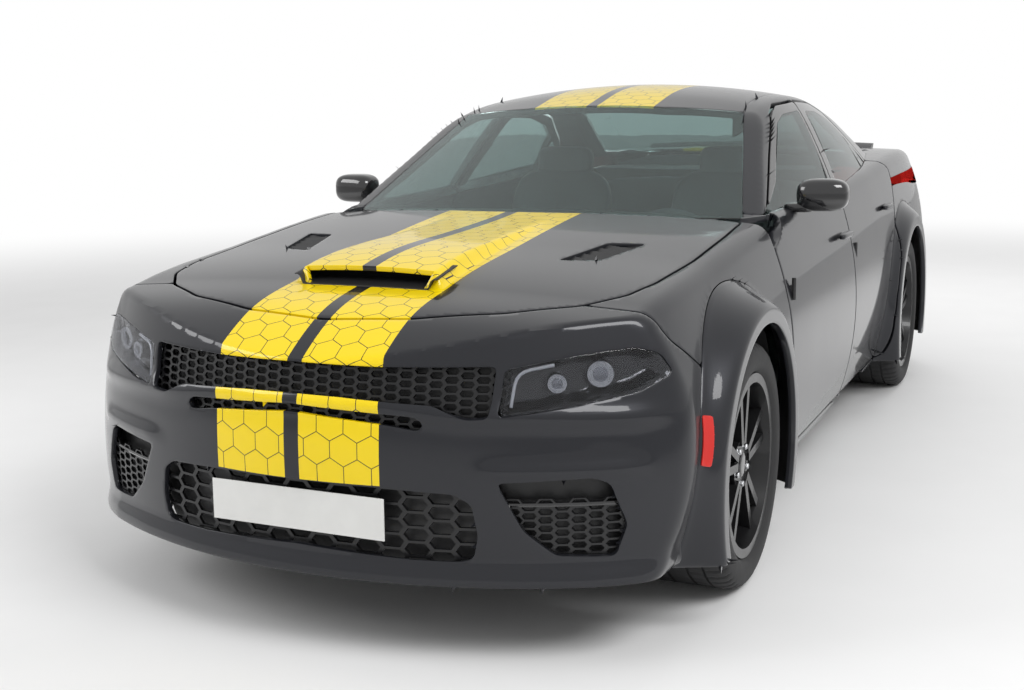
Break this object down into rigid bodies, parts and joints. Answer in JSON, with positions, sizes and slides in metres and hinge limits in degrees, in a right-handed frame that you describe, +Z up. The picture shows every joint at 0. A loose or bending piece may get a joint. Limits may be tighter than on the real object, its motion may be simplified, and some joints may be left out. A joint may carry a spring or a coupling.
{
  "type": "four-door muscle car",
  "caption": "Wide-bodied muscle car with hinged doors, bonnet and boot lid, steered front wheels and rolling wheels.",
  "frame": {"origin": "on the floor under the middle of the car: midway along its length and on its centre plane", "axes": "+X to the front, +Y to the left side of the car, +Z up"},
  "size_m": [5.1036, 2.09, 1.467],
  "materials": {
    "paint": "dark grey metallic gloss, with twin yellow stripes",
    "gloss_black": "gloss black",
    "grille": "matt black",
    "glazing": "green tint",
    "lamp_dark": "dark lamp under a clear cover",
    "lamp_red": "red lamp cover",
    "rim": "satin black",
    "rubber": "matt",
    "iron": "cast",
    "steel": "satin",
    "cabin": "grained",
    "trim": "stitched black leather",
    "plate": "blank white"
  },
  "bodies": {
    "root": {"body_side_left": "paint", "body_side_right": "paint", "roof_panel": "paint", "front_bumper": "paint", "rear_bumper": "paint", "fender_left": "paint", "fender_right": "paint", "grilles": "grille", "cowl_panel": "grille", "wheel_liners": "grille", "windscreen": "glazing", "rear_window": "glazing", "headlamp_left": "lamp_dark", "headlamp_right": "lamp_dark", "tail_lamp_left": "lamp_red", "tail_lamp_right": "lamp_red", "hub_carriers": "iron", "front_subframe": "iron", "rear_subframe": "iron", "drive_shaft": "iron", "engine_block": "iron", "hinges": "steel", "exhaust": "steel", "underbody": "steel", "dashboard": "cabin", "steering_wheel": "cabin", "rear_shelf": "cabin", "front_seats": "trim", "rear_bench": "trim", "number_plates": "plate"},
    "hood": {"hood": "paint"},
    "trunk_lid": {"trunk_lid": "paint", "lid_lamp": "lamp_red"},
    "door_front_left": {"door_front_left": "paint", "glass_front_left": "glazing", "mirror_left": "gloss_black"},
    "door_rear_left": {"door_rear_left": "paint", "glass_rear_left": "glazing"},
    "knuckle_left": {"knuckle_left": "iron"},
    "wheel_front_left": {"wheel_front_left": "rim", "tyre_front_left": "rubber"},
    "wheel_rear_left": {"wheel_rear_left": "rim", "tyre_rear_left": "rubber"},
    "door_front_right": {"door_front_right": "paint", "glass_front_right": "glazing", "mirror_right": "gloss_black"},
    "door_rear_right": {"door_rear_right": "paint", "glass_rear_right": "glazing"},
    "knuckle_right": {"knuckle_right": "iron"},
    "wheel_front_right": {"wheel_front_right": "rim", "tyre_front_right": "rubber"},
    "wheel_rear_right": {"wheel_rear_right": "rim", "tyre_rear_right": "rubber"}
  },
  "joints": [
    {"name": "hood_hinge", "type": "hinge", "parent": "root", "child": "hood", "pos_m": [0.92, 0, 0.962], "axis": [0, -1, 0], "range_deg": [0, 55]},
    {"name": "lid_hinge", "type": "hinge", "parent": "root", "child": "trunk_lid", "pos_m": [-1.505, 0, 1.035], "axis": [0, 1, 0], "range_deg": [0, 65]},
    {"name": "door_front_left_hinge", "type": "hinge", "parent": "root", "child": "door_front_left", "pos_m": [0.94, 0.928, 0.6], "axis": [0, 0, -1], "range_deg": [0, 65]},
    {"name": "door_rear_left_hinge", "type": "hinge", "parent": "root", "child": "door_rear_left", "pos_m": [-0.1985, 0.928, 0.6], "axis": [0, 0, -1], "range_deg": [0, 65]},
    {"name": "door_front_right_hinge", "type": "hinge", "parent": "root", "child": "door_front_right", "pos_m": [0.94, -0.928, 0.6], "axis": [0, 0, 1], "range_deg": [0, 65]},
    {"name": "door_rear_right_hinge", "type": "hinge", "parent": "root", "child": "door_rear_right", "pos_m": [-0.1985, -0.928, 0.6], "axis": [0, 0, 1], "range_deg": [0, 65]},
    {"name": "steer_left", "type": "hinge", "parent": "root", "child": "knuckle_left", "pos_m": [1.595, 0.72, 0.361], "axis": [0, 0, 1], "range_deg": [-33, 33]},
    {"name": "steer_right", "type": "hinge", "parent": "root", "child": "knuckle_right", "pos_m": [1.595, -0.72, 0.361], "axis": [0, 0, 1], "range_deg": [-33, 33]},
    {"name": "spin_front_left", "type": "hinge", "parent": "knuckle_left", "child": "wheel_front_left", "pos_m": [1.595, 0.815, 0.361], "axis": [0, 1, 0], "continuous": true},
    {"name": "spin_front_right", "type": "hinge", "parent": "knuckle_right", "child": "wheel_front_right", "pos_m": [1.595, -0.815, 0.361], "axis": [0, 1, 0], "continuous": true},
    {"name": "spin_rear_left", "type": "hinge", "parent": "root", "child": "wheel_rear_left", "pos_m": [-1.463, 0.815, 0.361], "axis": [0, 1, 0], "continuous": true},
    {"name": "spin_rear_right", "type": "hinge", "parent": "root", "child": "wheel_rear_right", "pos_m": [-1.463, -0.815, 0.361], "axis": [0, 1, 0], "continuous": true}
  ],
  "couplings": [
    {"joint": "steer_right", "follows": "steer_left", "ratio": 1}
  ]
}
